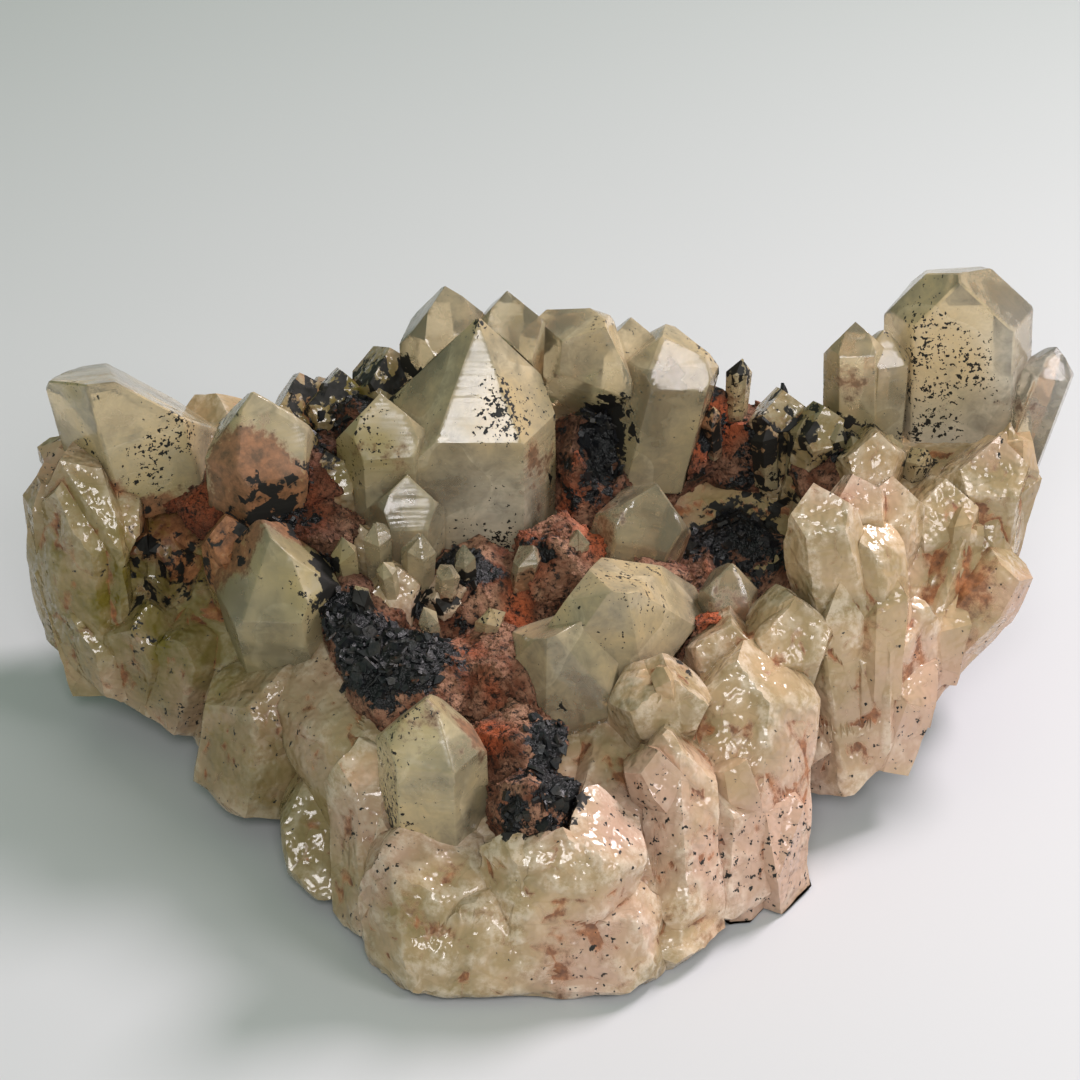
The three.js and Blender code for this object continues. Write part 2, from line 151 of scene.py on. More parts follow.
# How far each corner stands out of its surroundings, along its normal: its place less its
# neighbours' middle, smoothed over the edges a few times. Creases are below zero.
def standOut(points, faces, normals, rounds=6):
    edges, _ = edgesOf(faces, len(points))
    both = np.concatenate([edges, edges[:, ::-1]])
    count = np.maximum(np.bincount(both[:, 0], minlength=len(points)), 1)
    moved = points
    for _ in range(rounds):
        total = [np.bincount(both[:, 0], moved[both[:, 1], k], len(points)) / count for k in range(3)]
        moved = np.stack(total, axis=1)
    return np.sum((points - moved) * normals, axis=1)


# A CAD solid's points and triangles in millimetres, with its doubled corners merged.
def solidMesh(name, bevel=0.0):
    made = bmesh.new()
    made.from_mesh(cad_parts[name].data)
    bmesh.ops.remove_doubles(made, verts=made.verts, dist=1e-6)
    if bevel:
        bmesh.ops.dissolve_limit(made, angle_limit=math.radians(0.5), verts=made.verts, edges=made.edges)
        sharp = [e for e in made.edges if len(e.link_faces) == 2 and e.calc_face_angle() > math.radians(12)]
        bmesh.ops.bevel(made, geom=sharp, offset=bevel * mm, segments=1, profile=0.5, affect="EDGES",
                        clamp_overlap=True)
    bmesh.ops.triangulate(made, faces=made.faces)
    points = np.array([v.co for v in made.verts]) / mm
    faces = np.array([[v.index for v in f.verts] for f in made.faces])
    made.free()
    return points, faces


# A mesh object from arrays in millimetres, smooth shaded but for edges sharper than creaseAngle.
def addPiece(name, points, faces, material, paint=None, dirtAndShade=None, creaseAngle=40):
    mesh = bpy.data.meshes.new(name)
    mesh.from_pydata((points * mm).tolist(), [], faces.tolist())
    mesh.materials.append(material)
    mesh.polygons.foreach_set("use_smooth", np.full(len(faces), creaseAngle > 0))
    if paint is not None:
        layer = mesh.color_attributes.new("finish", "FLOAT_COLOR", "POINT")
        layer.data.foreach_set("color", paint.astype(np.float32).ravel())
    if dirtAndShade is not None:
        layer = mesh.attributes.new("dirtAndShade", "FLOAT", "POINT")
        layer.data.foreach_set("value", dirtAndShade.astype(np.float32))
    mesh.update()
    if 0 < creaseAngle < 180:
        mesh.set_sharp_from_angle(angle=math.radians(creaseAngle))
    piece = bpy.data.objects.new(name, mesh)
    bpy.context.scene.collection.objects.link(piece)
    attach(piece, "root")
    print("made", name, len(points), "points", len(faces), "faces")
    return piece


# Stains of the whole cluster, with some painted shade among them, in millimetres: place, radius, and how
# much of each there is.
# iron is orange-brown to red, crust is black manganese, olive is dirty yellow-green quartz,
# clean is bare clear quartz.
stainSpots = [
    # along the left point's foot, its stain and its broken tip
    {"at": (-86, 31, 55), "radius": 2.6, "iron": 0.9},
    {"at": (-78, 34, 46), "radius": 8, "iron": 0.9},
    {"at": (-69, 26, 46), "radius": 9, "iron": 0.8},
    {"at": (-89, 31, 75), "radius": 1.6, "crust": 0.9},
    {"at": (-93, 35, 73), "radius": 3, "olive": 0.7},
    {"at": (-65, 43, 63), "radius": 8, "iron": 0.7},
    {"at": (-78, 28, 37), "radius": 15, "iron": 0.35, "olive": 1.0, "crust": 0.5},
    # the reddish ridge and its dark top
    {"at": (-61, 19, 56), "radius": 13, "iron": 1.0, "olive": 0.4, "crust": 0.2},
    {"at": (-57, 23, 68), "radius": 8, "iron": 0.8, "olive": 0.5},
    {"at": (-50, 24, 56), "radius": 9, "iron": 0.7, "olive": 0.6, "crust": 0.35},
    {"at": (-46, 45, 66), "radius": 13, "olive": 0.9, "crust": 0.5, "iron": 0.35},
    {"at": (-32, 46, 70), "radius": 9, "olive": 0.6, "crust": 0.55, "iron": 0.3},
    {"at": (-42, 30, 60), "radius": 8, "olive": 0.8, "iron": 0.4, "crust": 0.3},
    {"at": (-34, 22, 69), "radius": 8, "iron": 0.6, "olive": 1.0},
    {"at": (-55, 12, 50), "radius": 6, "iron": 0.8, "crust": 0.5},
    {"at": (-62, 14, 50), "radius": 8, "iron": 0.7, "olive": 0.9, "crust": 0.3},
    {"at": (-44, 6, 52), "radius": 13, "olive": 0.8, "iron": 0.15},
    {"at": (-54, 16, 57), "radius": 7, "iron": 1.0, "olive": 0.6, "crust": 0.35},
    {"at": (-22, -36, 44), "radius": 13, "iron": 0.5, "olive": 0.55},
    # painted shadow: olive and crust darken this patch
    {"at": (8, 38, 60), "radius": 10, "olive": 0.9, "crust": 0.5},
    {"at": (0, -52, 5), "radius": 15, "iron": 0.65},
    {"at": (26, -44, 5), "radius": 12, "iron": 0.6},
    {"at": (-26, -48, 18), "radius": 9, "iron": 0.4, "olive": 0.4},
    {"at": (101, 54, 68), "radius": 13, "clean": 1.0},
    {"at": (-12, 24, 54), "radius": 11, "clean": 0.5},
    {"at": (79, 51, 50), "radius": 12, "clean": 0.6},
    {"at": (18, 2, 46), "radius": 7, "olive": 0.6, "iron": 0.3},
    # left flank: olive, partly the quartz's own tone and partly painted shade with a green cast
    {"at": (-93, 24, 36), "radius": 26, "olive": 0.75},
    {"at": (-66, 4, 24), "radius": 22, "olive": 0.8},
    {"at": (-48, -20, 12), "radius": 20, "olive": 0.6, "iron": 0.2},
    {"at": (-28, -46, 8), "radius": 14, "iron": 0.35, "olive": 0.3},
    {"at": (-32, -20, 28), "radius": 5, "iron": 0.6},
    # black and red bed in the middle
    {"at": (-44, 8, 50), "radius": 5, "crust": 1.1},
    {"at": (-42, 0, 47), "radius": 5, "crust": 1.0},
    {"at": (-36, -8, 45), "radius": 8, "crust": 1.3},
    {"at": (-30, -14, 44), "radius": 8, "crust": 1.3},
    {"at": (-24, -8, 43), "radius": 6, "crust": 0.9},
    {"at": (-18, 16, 47), "radius": 5, "crust": 0.8},
    {"at": (-24, 6, 44), "radius": 4, "crust": 0.7, "iron": 0.5},
    {"at": (-18, 0, 43), "radius": 8, "iron": 0.5, "crust": 0.35},
    {"at": (-16, 12, 46), "radius": 6, "crust": 0.6, "iron": 0.5},
    {"at": (-6, 5, 43), "radius": 5, "iron": 1.2},
    {"at": (-2, 14, 48), "radius": 7, "iron": 0.6, "crust": 0.45},
    {"at": (-12, -14, 40), "radius": 8, "iron": 0.5, "crust": 0.2},
    {"at": (-10, -30, 40), "radius": 5, "iron": 1.0},
    {"at": (-2, -30, 38), "radius": 7, "crust": 0.9},
    {"at": (-8, -44, 34), "radius": 5, "iron": 0.9, "crust": 0.4},
    {"at": (0, -42, 33), "radius": 8, "crust": 0.85},
    {"at": (6, -20, 38), "radius": 5, "crust": 0.6},
    {"at": (-14, -34, 46), "radius": 4, "iron": 0.6},
    # the tall point's right edge, and the earthy wall behind it
    {"at": (-3, 27, 64), "radius": 7, "iron": 1.0},
    {"at": (0, 28, 52), "radius": 6, "iron": 0.7},
    {"at": (10, 30, 53), "radius": 9, "iron": 0.5, "crust": 0.35},
    {"at": (12, 43, 62), "radius": 6, "crust": 0.9, "iron": 0.3},
    {"at": (2, 41, 74), "radius": 2.5, "iron": 0.7},
    {"at": (10, 18, 50), "radius": 7, "iron": 0.8},
    # the hollow: its crust, iron and olive are partly stain and partly painted shade, to darken it
    {"at": (36, 36, 42), "radius": 15, "crust": 0.8, "iron": 0.4, "olive": 0.8},
    {"at": (32, 50, 56), "radius": 7, "iron": 0.9, "crust": 0.5},
    {"at": (34, 54, 68), "radius": 6, "crust": 1.0},
    {"at": (24, 48, 58), "radius": 6, "iron": 0.4, "olive": 0.5},
    {"at": (30, 20, 46), "radius": 5, "iron": 1.1},
    {"at": (34, 4, 42), "radius": 7, "iron": 0.9},
    {"at": (24, 12, 52), "radius": 4, "iron": 0.6},
    {"at": (23, -14, 43), "radius": 4, "iron": 0.8, "crust": 0.8},
    {"at": (46, 26, 46), "radius": 8, "crust": 0.6, "olive": 1.0},
    # right back
    {"at": (46, 48, 58), "radius": 9, "crust": 0.6, "iron": 0.4, "olive": 0.7},
    {"at": (58, 48, 68), "radius": 6, "iron": 0.8},
    {"at": (58, 42, 58), "radius": 8, "crust": 0.5, "olive": 0.8},
    {"at": (72, 44, 52), "radius": 8, "crust": 0.45, "olive": 0.7},
    {"at": (80, 52, 56), "radius": 7, "iron": 0.3, "olive": 0.4},
    {"at": (94, 52, 58), "radius": 5, "iron": 0.9, "crust": 0.4},
    {"at": (97, 54, 62), "radius": 2.5, "crust": 0.7},
]
stainKinds = ("iron", "crust", "olive", "clean")


# Stain paint: for each kind the sum over the spots of strength * (1 - (d / (1.6 r))^2)^2 inside
# 1.6 r, where d is the distance from the spot's middle after a wobble of the place by soft noise.
def stainPaint(points):
    wobble = np.stack([softNoise(points, 7.0, 40 + k) for k in range(3)], axis=1)
    places = points + 2.5 * wobble
    paint = np.zeros((len(points), 4))
    for spot in stainSpots:
        near = np.sum((places - np.array(spot["at"])) ** 2, axis=1) / (1.6 * spot["radius"]) ** 2
        fall = np.clip(1 - near, 0, 1) ** 2
        for k, kind in enumerate(stainKinds):
            paint[:, k] += spot.get(kind, 0) * fall
    return np.clip(paint, 0, 1)


# A node in a material's tree: its settings, then its inputs, each a value or another node's output.
def addNode(tree, kind, settings=None, inputs=None):
    made = tree.nodes.new("ShaderNode" + kind)
    for name, value in (settings or {}).items():
        setattr(made, name, value)
    for name, value in (inputs or {}).items():
        if isinstance(value, bpy.types.NodeSocket):
            tree.links.new(value, made.inputs[name])
        else:
            made.inputs[name].default_value = value
    return made


def newMaterial(name):
    made = bpy.data.materials.new(name)
    made.use_nodes = True
    tree = made.node_tree
    tree.nodes.clear()
    out = tree.nodes.new("ShaderNodeOutputMaterial")
    shader = tree.nodes.new("ShaderNodeBsdfPrincipled")
    shader.distribution = "GGX"
    tree.links.new(shader.outputs[0], out.inputs["Surface"])
    return made, tree, shader, out


def noiseOutput(tree, place, scale, detail=4.0, roughness=0.55, distortion=0.0):
    inputs = {"Vector": place, "Scale": scale, "Detail": detail, "Roughness": roughness,
              "Distortion": distortion}
    return addNode(tree, "TexNoise", None, inputs).outputs["Fac"]


# A value from low..high brought to a..b, held at both ends.
def stretched(tree, value, low, high, a=0.0, b=1.0):
    inputs = {"Value": value, "From Min": low, "From Max": high, "To Min": a, "To Max": b}
    return addNode(tree, "MapRange", {"clamp": True}, inputs).outputs["Result"]


def maths(tree, operation, a, b=0.0, clamp=False):
    made = addNode(tree, "Math", {"operation": operation, "use_clamp": clamp}, {0: a, 1: b})
    return made.outputs[0]


# a * share + b * more
def blended(tree, a, share, b, more):
    return maths(tree, "ADD", maths(tree, "MULTIPLY", a, share), maths(tree, "MULTIPLY", b, more))


def mixedColour(tree, share, a, b):
    made = addNode(tree, "Mix", {"data_type": "RGBA"}, {"Factor": share})
    for socket, value in zip([s for s in made.inputs if s.type == "RGBA"], (a, b)):
        if isinstance(value, bpy.types.NodeSocket):
            tree.links.new(value, socket)
        else:
            socket.default_value = (*value, 1.0)
    return [s for s in made.outputs if s.type == "RGBA"][0]


# The painted stains of a piece, as four outputs in the order of stainKinds.
def paintOutputs(tree):
    paint = addNode(tree, "Attribute", {"attribute_name": "finish"})
    parts = addNode(tree, "SeparateColor", None, {"Color": paint.outputs["Color"]})
    return (*parts.outputs[:3], paint.outputs["Alpha"])


# Where a paint covers the surface: a ragged share of it as large as the paint's amount.
def coverage(tree, paint, ragged, softness):
    spread = maths(tree, "SUBTRACT", maths(tree, "MULTIPLY", paint, 1.12), ragged)
    return stretched(tree, spread, 0.0, softness)


# Facet relief in the shader: (p - c) . n in each Voronoi cell, a tilted plane in every cell.
def facetRelief(tree, place, scale):
    cells = addNode(tree, "TexVoronoi", {"feature": "F1"}, {"Vector": place, "Scale": scale})
    scaled = addNode(tree, "VectorMath", {"operation": "SCALE"}, {0: place, "Scale": scale})
    offset = addNode(tree, "VectorMath", {"operation": "SUBTRACT"},
                     {0: scaled.outputs[0], 1: cells.outputs["Position"]})
    centre = addNode(tree, "VectorMath", {"operation": "SUBTRACT"},
                     {0: cells.outputs["Color"], 1: (0.5, 0.5, 0.5)})
    dot = addNode(tree, "VectorMath", {"operation": "DOT_PRODUCT"},
                  {0: offset.outputs[0], 1: centre.outputs[0]})
    return dot.outputs["Value"]


# Flaky noise: a random number for each Voronoi cell, with cells bent by soft noise.
def flakyNoise(tree, place, scale):
    bend = addNode(tree, "TexNoise", None, {"Vector": place, "Scale": scale * 0.8, "Detail": 2.0})
    shift = addNode(tree, "VectorMath", {"operation": "SCALE"},
                    {0: bend.outputs["Color"], "Scale": 0.9 / scale})
    bent = addNode(tree, "VectorMath", {"operation": "ADD"}, {0: place, 1: shift.outputs[0]})
    cells = addNode(tree, "TexVoronoi", {"feature": "F1"}, {"Vector": bent.outputs[0], "Scale": scale})
    return addNode(tree, "SeparateColor", None, {"Color": cells.outputs["Color"]}).outputs[0]


# A sheet of healed fracture: sharp along the level f = 0.5 of a soft noise f, fading to f = 0.57.
def fractureSheet(tree, place, scale):
    level = noiseOutput(tree, place, scale, 1.0, 0.45)
    edge = stretched(tree, level, 0.500, 0.504)
    return maths(tree, "MULTIPLY", edge, stretched(tree, level, 0.504, 0.57, 1.0, 0.0))


quartzLook = {
    "body": (0.96, 0.84, 0.60),
    "haze": (0.76, 0.57, 0.32),
    "white": (0.96, 0.93, 0.88),
    "frost": (0.90, 0.80, 0.64),
    "olive": (0.24, 0.18, 0.035),
    "ironPale": (0.38, 0.14, 0.06),
    "ironDeep": (0.10, 0.030, 0.012),
    "crust": (0.009, 0.007, 0.005),
    "refraction": 1.544,
    "absorption": (0.86, 0.66, 0.30),
    "absorptionDensity": 26.0,
}


# Clear smoky quartz: see-through where clean, milky in veils, stained and specked by its paint.
def clearQuartz(name, axis=(0, 0), haze=0.45, striation=0.5):
    look = quartzLook
    made, tree, shader, out = newMaterial(name)
    place = addNode(tree, "TexCoord").outputs["Object"]
    along = Vector((math.tan(math.radians(axis[0])), math.tan(math.radians(axis[1])), 1)).normalized()
    turn = along.rotation_difference(Vector((0, 0, 1))).to_euler()
    upright = addNode(tree, "Mapping", None, {"Vector": place, "Rotation": tuple(turn)}).outputs[0]
    iron, crust, olive, clean = paintOutputs(tree)

    # veils: a soft cloudiness with thin wisps, and sheets of healed fracture
    cloud = noiseOutput(tree, place, 45.0, 2.0, 0.55)
    wisps = noiseOutput(tree, place, 260.0, 3.0, 0.7, 0.4)
    veil = stretched(tree, blended(tree, cloud, 1.0, wisps, 0.35), 0.55, 0.84, 0.15, 1.0)
    sheets = fractureSheet(tree, upright, 46.0)
    # stains: the paint, broken up by noise
    fine = noiseOutput(tree, place, 480.0, 3.0, 0.7)
    broad = noiseOutput(tree, place, 130.0, 2.0, 0.6)
    ragged = stretched(tree, blended(tree, fine, 0.5, broad, 0.5), 0.33, 0.67)
    flaky = blended(tree, flakyNoise(tree, place, 420.0), 0.45, ragged, 0.55)
    ironMask = coverage(tree, iron, ragged, 0.35)
    crustMask = coverage(tree, maths(tree, "MULTIPLY", crust, 0.85), flaky, 0.05)
    # specks: small dark flakes that sit on the faces, in drifts
    speckNoise = noiseOutput(tree, place, 900.0, 2.0, 0.75)
    specks = stretched(tree, blended(tree, speckNoise, 1.0, cloud, 1.0), 1.20, 1.23)

    colour = mixedColour(tree, veil, look["body"], look["haze"])
    colour = mixedColour(tree, maths(tree, "MULTIPLY", clean, 0.9), colour, look["white"])
    frost = maths(tree, "MULTIPLY", sheets, stretched(tree, wisps, 0.35, 0.6, 0.2, 1.0))
    colour = mixedColour(tree, maths(tree, "MULTIPLY", frost, 0.22), colour, look["frost"])
    colour = mixedColour(tree, maths(tree, "MULTIPLY", olive, 0.85), colour, look["olive"])
    ironColour = mixedColour(tree, stretched(tree, fine, 0.35, 0.65), look["ironDeep"], look["ironPale"])
    colour = mixedColour(tree, maths(tree, "MULTIPLY", ironMask, 0.85), colour, ironColour)
    dark = maths(tree, "MAXIMUM", crustMask, specks)
    colour = mixedColour(tree, dark, colour, look["crust"])
    tree.links.new(colour, shader.inputs["Base Color"])

    covered = maths(tree, "MAXIMUM", maths(tree, "MULTIPLY", ironMask, 0.75), dark)
    milky = blended(tree, veil, haze, frost, 0.12)
    clear = maths(tree, "SUBTRACT", 0.90, milky, True)
    clear = maths(tree, "SUBTRACT", clear, maths(tree, "MULTIPLY", olive, 0.3), True)
    clear = maths(tree, "MULTIPLY", clear, maths(tree, "SUBTRACT", 1.0, covered))
    tree.links.new(clear, shader.inputs["Transmission Weight"])
    worn = stretched(tree, broad, 0.3, 0.75, 0.05, 0.24)
    rough = maths(tree, "ADD", maths(tree, "MULTIPLY", covered, 0.45), worn)
    rough = maths(tree, "ADD", rough, maths(tree, "MULTIPLY", olive, 0.35))
    tree.links.new(rough, shader.inputs["Roughness"])
    shader.inputs["IOR"].default_value = look["refraction"]

    # growth lines run round the crystal, and stand out more where iron lies
    flattened = addNode(tree, "VectorMath", {"operation": "MULTIPLY"}, {0: upright, 1: (0.12, 0.12, 1.0)})
    lines = noiseOutput(tree, flattened.outputs[0], 900.0, 1.0, 0.6)
    height = blended(tree, lines, striation, maths(tree, "MULTIPLY", iron, lines), 0.8)
    bump = addNode(tree, "Bump", None, {"Height": height, "Strength": 0.3, "Distance": 0.0005})
    tree.links.new(bump.outputs[0], shader.inputs["Normal"])

    inside = addNode(tree, "VolumeAbsorption", None,
                     {"Color": (*look["absorption"], 1.0), "Density": look["absorptionDensity"]})
    tree.links.new(inside.outputs[0], out.inputs["Volume"])
    return made


rootLook = {
    "honey": (0.84, 0.58, 0.34),
    "smoke": (0.56, 0.41, 0.22),
    "rose": (0.88, 0.57, 0.42),
    "frost": (0.94, 0.80, 0.66),
    "olive": (0.20, 0.15, 0.025),
    "ironPale": (0.52, 0.19, 0.07),
    "ironDeep": (0.14, 0.042, 0.016),
    "crust": (0.010, 0.008, 0.006),
    "clarity": 0.30,
}


# Massive quartz of the root: cloudy honey to rose, white along broken edges, brown in the cracks and
# hollows, partly iron stain and partly painted shade.
# It is milky, so it is only partly see-through and has no absorption volume.
def massiveQuartz(name):
    look = rootLook
    made, tree, shader, _ = newMaterial(name)
    place = addNode(tree, "TexCoord").outputs["Object"]
    iron, crust, olive, _ = paintOutputs(tree)
    # dirt and painted shade: above zero in creases and hollows, below zero where the surface stands out
    dirtAndShade = addNode(tree, "Attribute", {"attribute_name": "dirtAndShade"}).outputs["Fac"]
    cloud = noiseOutput(tree, place, 50.0, 3.0, 0.6, 0.5)
    tint = noiseOutput(tree, place, 33.0, 3.0, 0.5)
    fine = noiseOutput(tree, place, 420.0, 4.0, 0.7)
    broad = noiseOutput(tree, place, 120.0, 3.0, 0.6, 0.4)
    wisps = noiseOutput(tree, place, 210.0, 3.0, 0.65, 0.3)

    colour = mixedColour(tree, stretched(tree, cloud, 0.40, 0.60), look["smoke"], look["honey"])
    colour = mixedColour(tree, stretched(tree, tint, 0.45, 0.62), colour, look["rose"])
    worn = maths(tree, "MULTIPLY", stretched(tree, dirtAndShade, -0.3, -1.0), stretched(tree, fine, 0.4, 0.6))
    frost = stretched(tree, blended(tree, wisps, 0.5, broad, 0.7), 0.68, 0.84)
    frost = maths(tree, "MULTIPLY", maths(tree, "MAXIMUM", frost, worn), 0.55)
    colour = mixedColour(tree, frost, colour, look["frost"])
    oliveMask = maths(tree, "MULTIPLY", olive, stretched(tree, broad, 0.35, 0.65, 0.6, 1.0))
    colour = mixedColour(tree, oliveMask, colour, look["olive"])
    ragged = stretched(tree, blended(tree, fine, 0.5, broad, 0.5), 0.33, 0.67)
    flaky = blended(tree, flakyNoise(tree, place, 380.0), 0.45, ragged, 0.55)
    split = maths(tree, "MULTIPLY", fractureSheet(tree, place, 85.0), 0.55)
    # cracks and hollows go iron brown: partly fracture stain, partly painted shade from the dirt attribute
    cracksAndShade = maths(tree, "MULTIPLY", maths(tree, "MAXIMUM", dirtAndShade, split), 0.95)
    ironMask = coverage(tree, maths(tree, "MAXIMUM", iron, cracksAndShade), ragged, 0.55)
    ironColour = mixedColour(tree, stretched(tree, fine, 0.35, 0.65), look["ironDeep"], look["ironPale"])
    colour = mixedColour(tree, maths(tree, "MULTIPLY", ironMask, 0.9), colour, ironColour)
    crustMask = coverage(tree, maths(tree, "MULTIPLY", crust, 0.85), flaky, 0.06)
    speckNoise = noiseOutput(tree, place, 650.0, 2.0, 0.75)
    specks = stretched(tree, blended(tree, speckNoise, 1.0, tint, 0.5), 0.93, 0.97)
    dark = maths(tree, "MAXIMUM", crustMask, specks)
    colour = mixedColour(tree, dark, colour, look["crust"])
    tree.links.new(colour, shader.inputs["Base Color"])

    covered = maths(tree, "MAXIMUM", ironMask, dark)
    rough = stretched(tree, covered, 0.0, 1.0, 0.11, 0.65)
    tree.links.new(rough, shader.inputs["Roughness"])
    bare = maths(tree, "SUBTRACT", 1.0, covered)
    bare = maths(tree, "MULTIPLY", bare, maths(tree, "SUBTRACT", 1.0, frost))
    bare = maths(tree, "MULTIPLY", bare, stretched(tree, oliveMask, 0.0, 1.0, 1.0, 0.5))
    clear = maths(tree, "MULTIPLY", bare, stretched(tree, cloud, 0.35, 0.65, look["clarity"], 0.3))
    tree.links.new(clear, shader.inputs["Transmission Weight"])
    shader.inputs["IOR"].default_value = quartzLook["refraction"]

    big = facetRelief(tree, place, 130.0)
    height = blended(tree, big, 1.0, noiseOutput(tree, place, 420.0, 1.0, 0.6), 0.35)
    bump = addNode(tree, "Bump", None, {"Height": height, "Strength": 1.0, "Distance": 0.0018})
    tree.links.new(bump.outputs[0], shader.inputs["Normal"])
    return made


earthLook = {
    "red": (0.17, 0.055, 0.026),
    "orange": (0.55, 0.13, 0.05),
    "pink": (0.44, 0.23, 0.145),
    "dark": (0.022, 0.012, 0.008),
    "deep": (0.055, 0.016, 0.006),
    "crust": (0.009, 0.009, 0.011),
}


# Iron earth: granular red, orange and pinkish, under a black crust with a dull blue shine.
def ironEarth(name):
    look = earthLook
    made, tree, shader, _ = newMaterial(name)
    place = addNode(tree, "TexCoord").outputs["Object"]
    iron, crust, olive, _ = paintOutputs(tree)
    fine = noiseOutput(tree, place, 700.0, 3.0, 0.75)
    broad = noiseOutput(tree, place, 150.0, 3.0, 0.65)
    cloud = noiseOutput(tree, place, 60.0, 3.0, 0.5)
    colour = mixedColour(tree, stretched(tree, broad, 0.40, 0.62), look["red"], look["pink"])
    glow = blended(tree, iron, 0.5, cloud, 1.0)
    colour = mixedColour(tree, stretched(tree, glow, 0.68, 0.95), colour, look["orange"])
    colour = mixedColour(tree, stretched(tree, fine, 0.50, 0.36), colour, look["dark"])
    # olive paint turns the earth a deep dark red; in the hollow that darkness is painted shade
    colour = mixedColour(tree, maths(tree, "MULTIPLY", olive, 0.9), colour, look["deep"])
    ragged = stretched(tree, blended(tree, fine, 0.4, broad, 0.6), 0.33, 0.67)
    flaky = blended(tree, flakyNoise(tree, place, 330.0), 0.4, ragged, 0.6)
    crustMask = coverage(tree, crust, flaky, 0.08)
    colour = mixedColour(tree, crustMask, colour, look["crust"])
    tree.links.new(colour, shader.inputs["Base Color"])
    tree.links.new(stretched(tree, crustMask, 0.0, 1.0, 0.9, 0.42), shader.inputs["Roughness"])
    lumps = addNode(tree, "TexVoronoi", {"feature": "F1"}, {"Vector": place, "Scale": 900.0})
    height = blended(tree, fine, 1.3, lumps.outputs["Distance"], -0.6)
    bump = addNode(tree, "Bump", None, {"Height": height, "Strength": 0.9, "Distance": 0.0009})
    tree.links.new(bump.outputs[0], shader.inputs["Normal"])
    return made


# Each free-standing piece of clear quartz: its axis' lean to the right and back, in degrees,
# how milky it is, how strong its growth lines are, and how rough its faces are, in millimetres.
crystalFinish = {
    "centre_points": {"axis": (0, 0), "haze": 0.60, "striation": 0.5, "relief": 0.10},
    "back_points": {"axis": (4, 2), "haze": 0.60, "striation": 0.4, "relief": 0.12},
    "left_point": {"axis": (-10, 0), "haze": 0.75, "striation": 0.4, "relief": 0.18},
    "ridge_point": {"axis": (-2, 3), "haze": 0.65, "striation": 0.5, "relief": 0.22},
    "left_front_point": {"axis": (-7, -18), "haze": 0.70, "striation": 0.3, "relief": 0.22},
    "right_point": {"axis": (-2, 0), "haze": 0.70, "striation": 0.3, "relief": 0.12},
    "small_right_points": {"axis": (0, 4), "haze": 0.50, "striation": 0.4, "relief": 0.12},
    "far_right_point": {"axis": (15, 4), "haze": 0.30, "striation": 0.5, "relief": 0.08},
    "front_point": {"axis": (-1, -19), "haze": 0.80, "striation": 0.4, "relief": 0.25},
    "middle_point": {"axis": (10, -36), "haze": 0.70, "striation": 0.3, "relief": 0.15},
    "hollow_point": {"axis": (14, -6), "haze": 0.45, "striation": 0.5, "relief": 0.12},
    "small_hollow_point": {"axis": (6, 0), "haze": 0.40, "striation": 0.4, "relief": 0.10},
}


# A crystal: the frame's solid with worn edges. Faces are lifted along the normal by relief *
# (facets + 0.6 * rough noise), and a little more where iron or crust lies on them.
def makeCrystal(name, finish):
    points, faces = solidMesh(name, bevel=0.3)
    points, faces = splitLongEdges(points, faces, 2.0)
    normals = cornerNormals(points, faces)
    facets, _ = brokenFacets(points, 7.0, 11, tilt=0.6, dome=0.2)
    lift = finish["relief"] * (facets + 0.6 * roughNoise(points, 3.0, 12))
    paint = stainPaint(points)
    lift += 0.25 * paint[:, 0] * (0.5 + roughNoise(points, 1.8, 13)) + 0.3 * paint[:, 1]
    points = points + normals * lift[:, None]
    material = clearQuartz(name + "_quartz", finish["axis"], finish["haze"], finish["striation"])
    piece = addPiece(name + "_crystal", points, faces, material, paint, creaseAngle=25)
    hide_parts(name)
    return points, faces


# How far a place is on the low front of the root, from 0 to 1: massive there, with thin ledges.
def lowFront(points):
    across = np.clip((44 - np.abs(points[:, 0])) / 12, 0, 1)
    return across * np.clip((-28 - points[:, 1]) / 10, 0, 1) * np.clip((34 - points[:, 2]) / 10, 0, 1)


rootRelief = {
    "edge": 2.2,  # longest edge, mm
    "ledges": 5.0, "ledgeHeight": 3.2,  # on the low front
    "slabs": 12.0, "slabHeight": 3.0,
    "chips": 5.0, "chipHeight": 2.0,
    "grit": 0.12,
    "calmAbove": 48.0,  # mm, the points that stand up above this keep flatter faces
}


